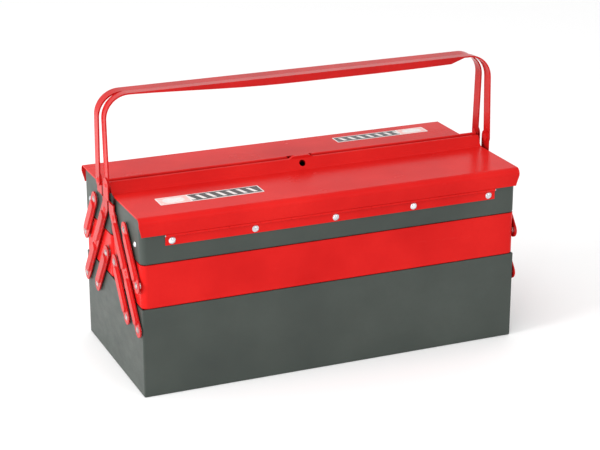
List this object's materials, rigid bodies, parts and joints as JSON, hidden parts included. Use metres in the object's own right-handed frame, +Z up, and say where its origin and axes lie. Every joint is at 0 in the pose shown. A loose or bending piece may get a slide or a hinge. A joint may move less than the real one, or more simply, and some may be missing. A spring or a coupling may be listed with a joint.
{
  "type": "cantilever toolbox",
  "caption": "Metal cantilever toolbox with stacked trays that swing out on side links, hinged lids and twin bail handles.",
  "frame": {"origin": "middle of the underside, at the centre of the closed box's footprint", "axes": "+X along the length, the front long side faces -Y, +Z up"},
  "size_m": [0.5006, 0.2228, 0.3347],
  "materials": {
    "red_paint": "semi-gloss stoved enamel on pressed sheet steel",
    "grey_paint": "satin fine-textured enamel on pressed sheet steel",
    "zinc_rivet": "bright zinc plate",
    "label_print": "gloss vinyl decal with blank panels"
  },
  "bodies": {
    "base": {"base_box": "grey_paint", "base_pivot_rivets": "zinc_rivet"},
    "front_arms": {"front_long_arm_left": "red_paint", "front_long_arm_right": "red_paint", "front_handle_rivets": "zinc_rivet"},
    "front_lower_links": {"front_lower_link_left": "red_paint", "front_lower_link_right": "red_paint"},
    "front_middle_tray": {"front_middle_tray": "red_paint", "front_middle_tray_rivets": "zinc_rivet"},
    "front_upper_links": {"front_upper_link_left": "red_paint", "front_upper_link_right": "red_paint"},
    "front_top_tray": {"front_top_tray": "grey_paint", "front_top_tray_rivets": "zinc_rivet", "front_top_tray_end_rivets": "zinc_rivet", "front_hinge_leaf_tray": "red_paint", "front_hinge_pin": "zinc_rivet", "front_hinge_rivets": "zinc_rivet"},
    "front_lid": {"front_lid": "red_paint", "front_lid_ridge": "red_paint", "front_hinge_leaf_lid": "red_paint", "front_lid_label": "label_print"},
    "front_bail": {"front_handle_bail": "red_paint"},
    "rear_arms": {"rear_long_arm_left": "red_paint", "rear_long_arm_right": "red_paint", "rear_handle_rivets": "zinc_rivet"},
    "rear_lower_links": {"rear_lower_link_left": "red_paint", "rear_lower_link_right": "red_paint"},
    "rear_middle_tray": {"rear_middle_tray": "red_paint", "rear_middle_tray_rivets": "zinc_rivet"},
    "rear_upper_links": {"rear_upper_link_left": "red_paint", "rear_upper_link_right": "red_paint"},
    "rear_top_tray": {"rear_top_tray": "grey_paint", "rear_top_tray_rivets": "zinc_rivet", "rear_top_tray_end_rivets": "zinc_rivet", "rear_hinge_leaf_tray": "red_paint", "rear_hinge_pin": "zinc_rivet", "rear_hinge_rivets": "zinc_rivet"},
    "rear_lid": {"rear_lid": "red_paint", "rear_hinge_leaf_lid": "red_paint", "rear_lid_label": "label_print"},
    "rear_bail": {"rear_handle_bail": "red_paint"}
  },
  "joints": [
    {"name": "front_arm_swing", "type": "hinge", "parent": "base", "child": "front_arms", "pos_m": [0, -0.09925, 0.0815], "axis": [1, 0, 0], "range_deg": [0, 74]},
    {"name": "front_lower_link_swing", "type": "hinge", "parent": "base", "child": "front_lower_links", "pos_m": [0, -0.05725, 0.0815], "axis": [1, 0, 0], "range_deg": [0, 74]},
    {"name": "front_middle_tray_level", "type": "hinge", "parent": "front_arms", "child": "front_middle_tray", "pos_m": [0, -0.05825, 0.13525], "axis": [1, 0, 0], "range_deg": [-74, 0]},
    {"name": "front_top_tray_level", "type": "hinge", "parent": "front_arms", "child": "front_top_tray", "pos_m": [0, -0.01725, 0.189], "axis": [1, 0, 0], "range_deg": [-74, 0]},
    {"name": "front_upper_link_swing", "type": "hinge", "parent": "front_middle_tray", "child": "front_upper_links", "pos_m": [0, -0.09925, 0.13525], "axis": [1, 0, 0], "range_deg": [0, 74]},
    {"name": "front_lid_hinge", "type": "hinge", "parent": "front_top_tray", "child": "front_lid", "pos_m": [0, -0.10915, 0.1934], "axis": [1, 0, 0], "range_deg": [0, 92]},
    {"name": "front_bail_fold", "type": "hinge", "parent": "front_arms", "child": "front_bail", "pos_m": [0, -0.012, 0.228], "axis": [1, 0, 0], "range_deg": [0, 90]},
    {"name": "rear_arm_swing", "type": "hinge", "parent": "base", "child": "rear_arms", "pos_m": [0, 0.09925, 0.0815], "axis": [-1, 0, 0], "range_deg": [0, 74]},
    {"name": "rear_lower_link_swing", "type": "hinge", "parent": "base", "child": "rear_lower_links", "pos_m": [0, 0.05725, 0.0815], "axis": [-1, 0, 0], "range_deg": [0, 74]},
    {"name": "rear_middle_tray_level", "type": "hinge", "parent": "rear_arms", "child": "rear_middle_tray", "pos_m": [0, 0.05825, 0.13525], "axis": [-1, 0, 0], "range_deg": [-74, 0]},
    {"name": "rear_top_tray_level", "type": "hinge", "parent": "rear_arms", "child": "rear_top_tray", "pos_m": [0, 0.01725, 0.189], "axis": [-1, 0, 0], "range_deg": [-74, 0]},
    {"name": "rear_upper_link_swing", "type": "hinge", "parent": "rear_middle_tray", "child": "rear_upper_links", "pos_m": [0, 0.09925, 0.13525], "axis": [-1, 0, 0], "range_deg": [0, 74]},
    {"name": "rear_lid_hinge", "type": "hinge", "parent": "rear_top_tray", "child": "rear_lid", "pos_m": [0, 0.10915, 0.1934], "axis": [-1, 0, 0], "range_deg": [0, 92]},
    {"name": "rear_bail_fold", "type": "hinge", "parent": "rear_arms", "child": "rear_bail", "pos_m": [0, 0.012, 0.228], "axis": [-1, 0, 0], "range_deg": [0, 90]}
  ],
  "couplings": [
    {"joint": "front_lower_link_swing", "follows": "front_arm_swing", "ratio": 1},
    {"joint": "front_middle_tray_level", "follows": "front_arm_swing", "ratio": -1},
    {"joint": "front_top_tray_level", "follows": "front_arm_swing", "ratio": -1},
    {"joint": "front_upper_link_swing", "follows": "front_arm_swing", "ratio": 1},
    {"joint": "rear_lower_link_swing", "follows": "rear_arm_swing", "ratio": 1},
    {"joint": "rear_middle_tray_level", "follows": "rear_arm_swing", "ratio": -1},
    {"joint": "rear_top_tray_level", "follows": "rear_arm_swing", "ratio": -1},
    {"joint": "rear_upper_link_swing", "follows": "rear_arm_swing", "ratio": 1}
  ]
}
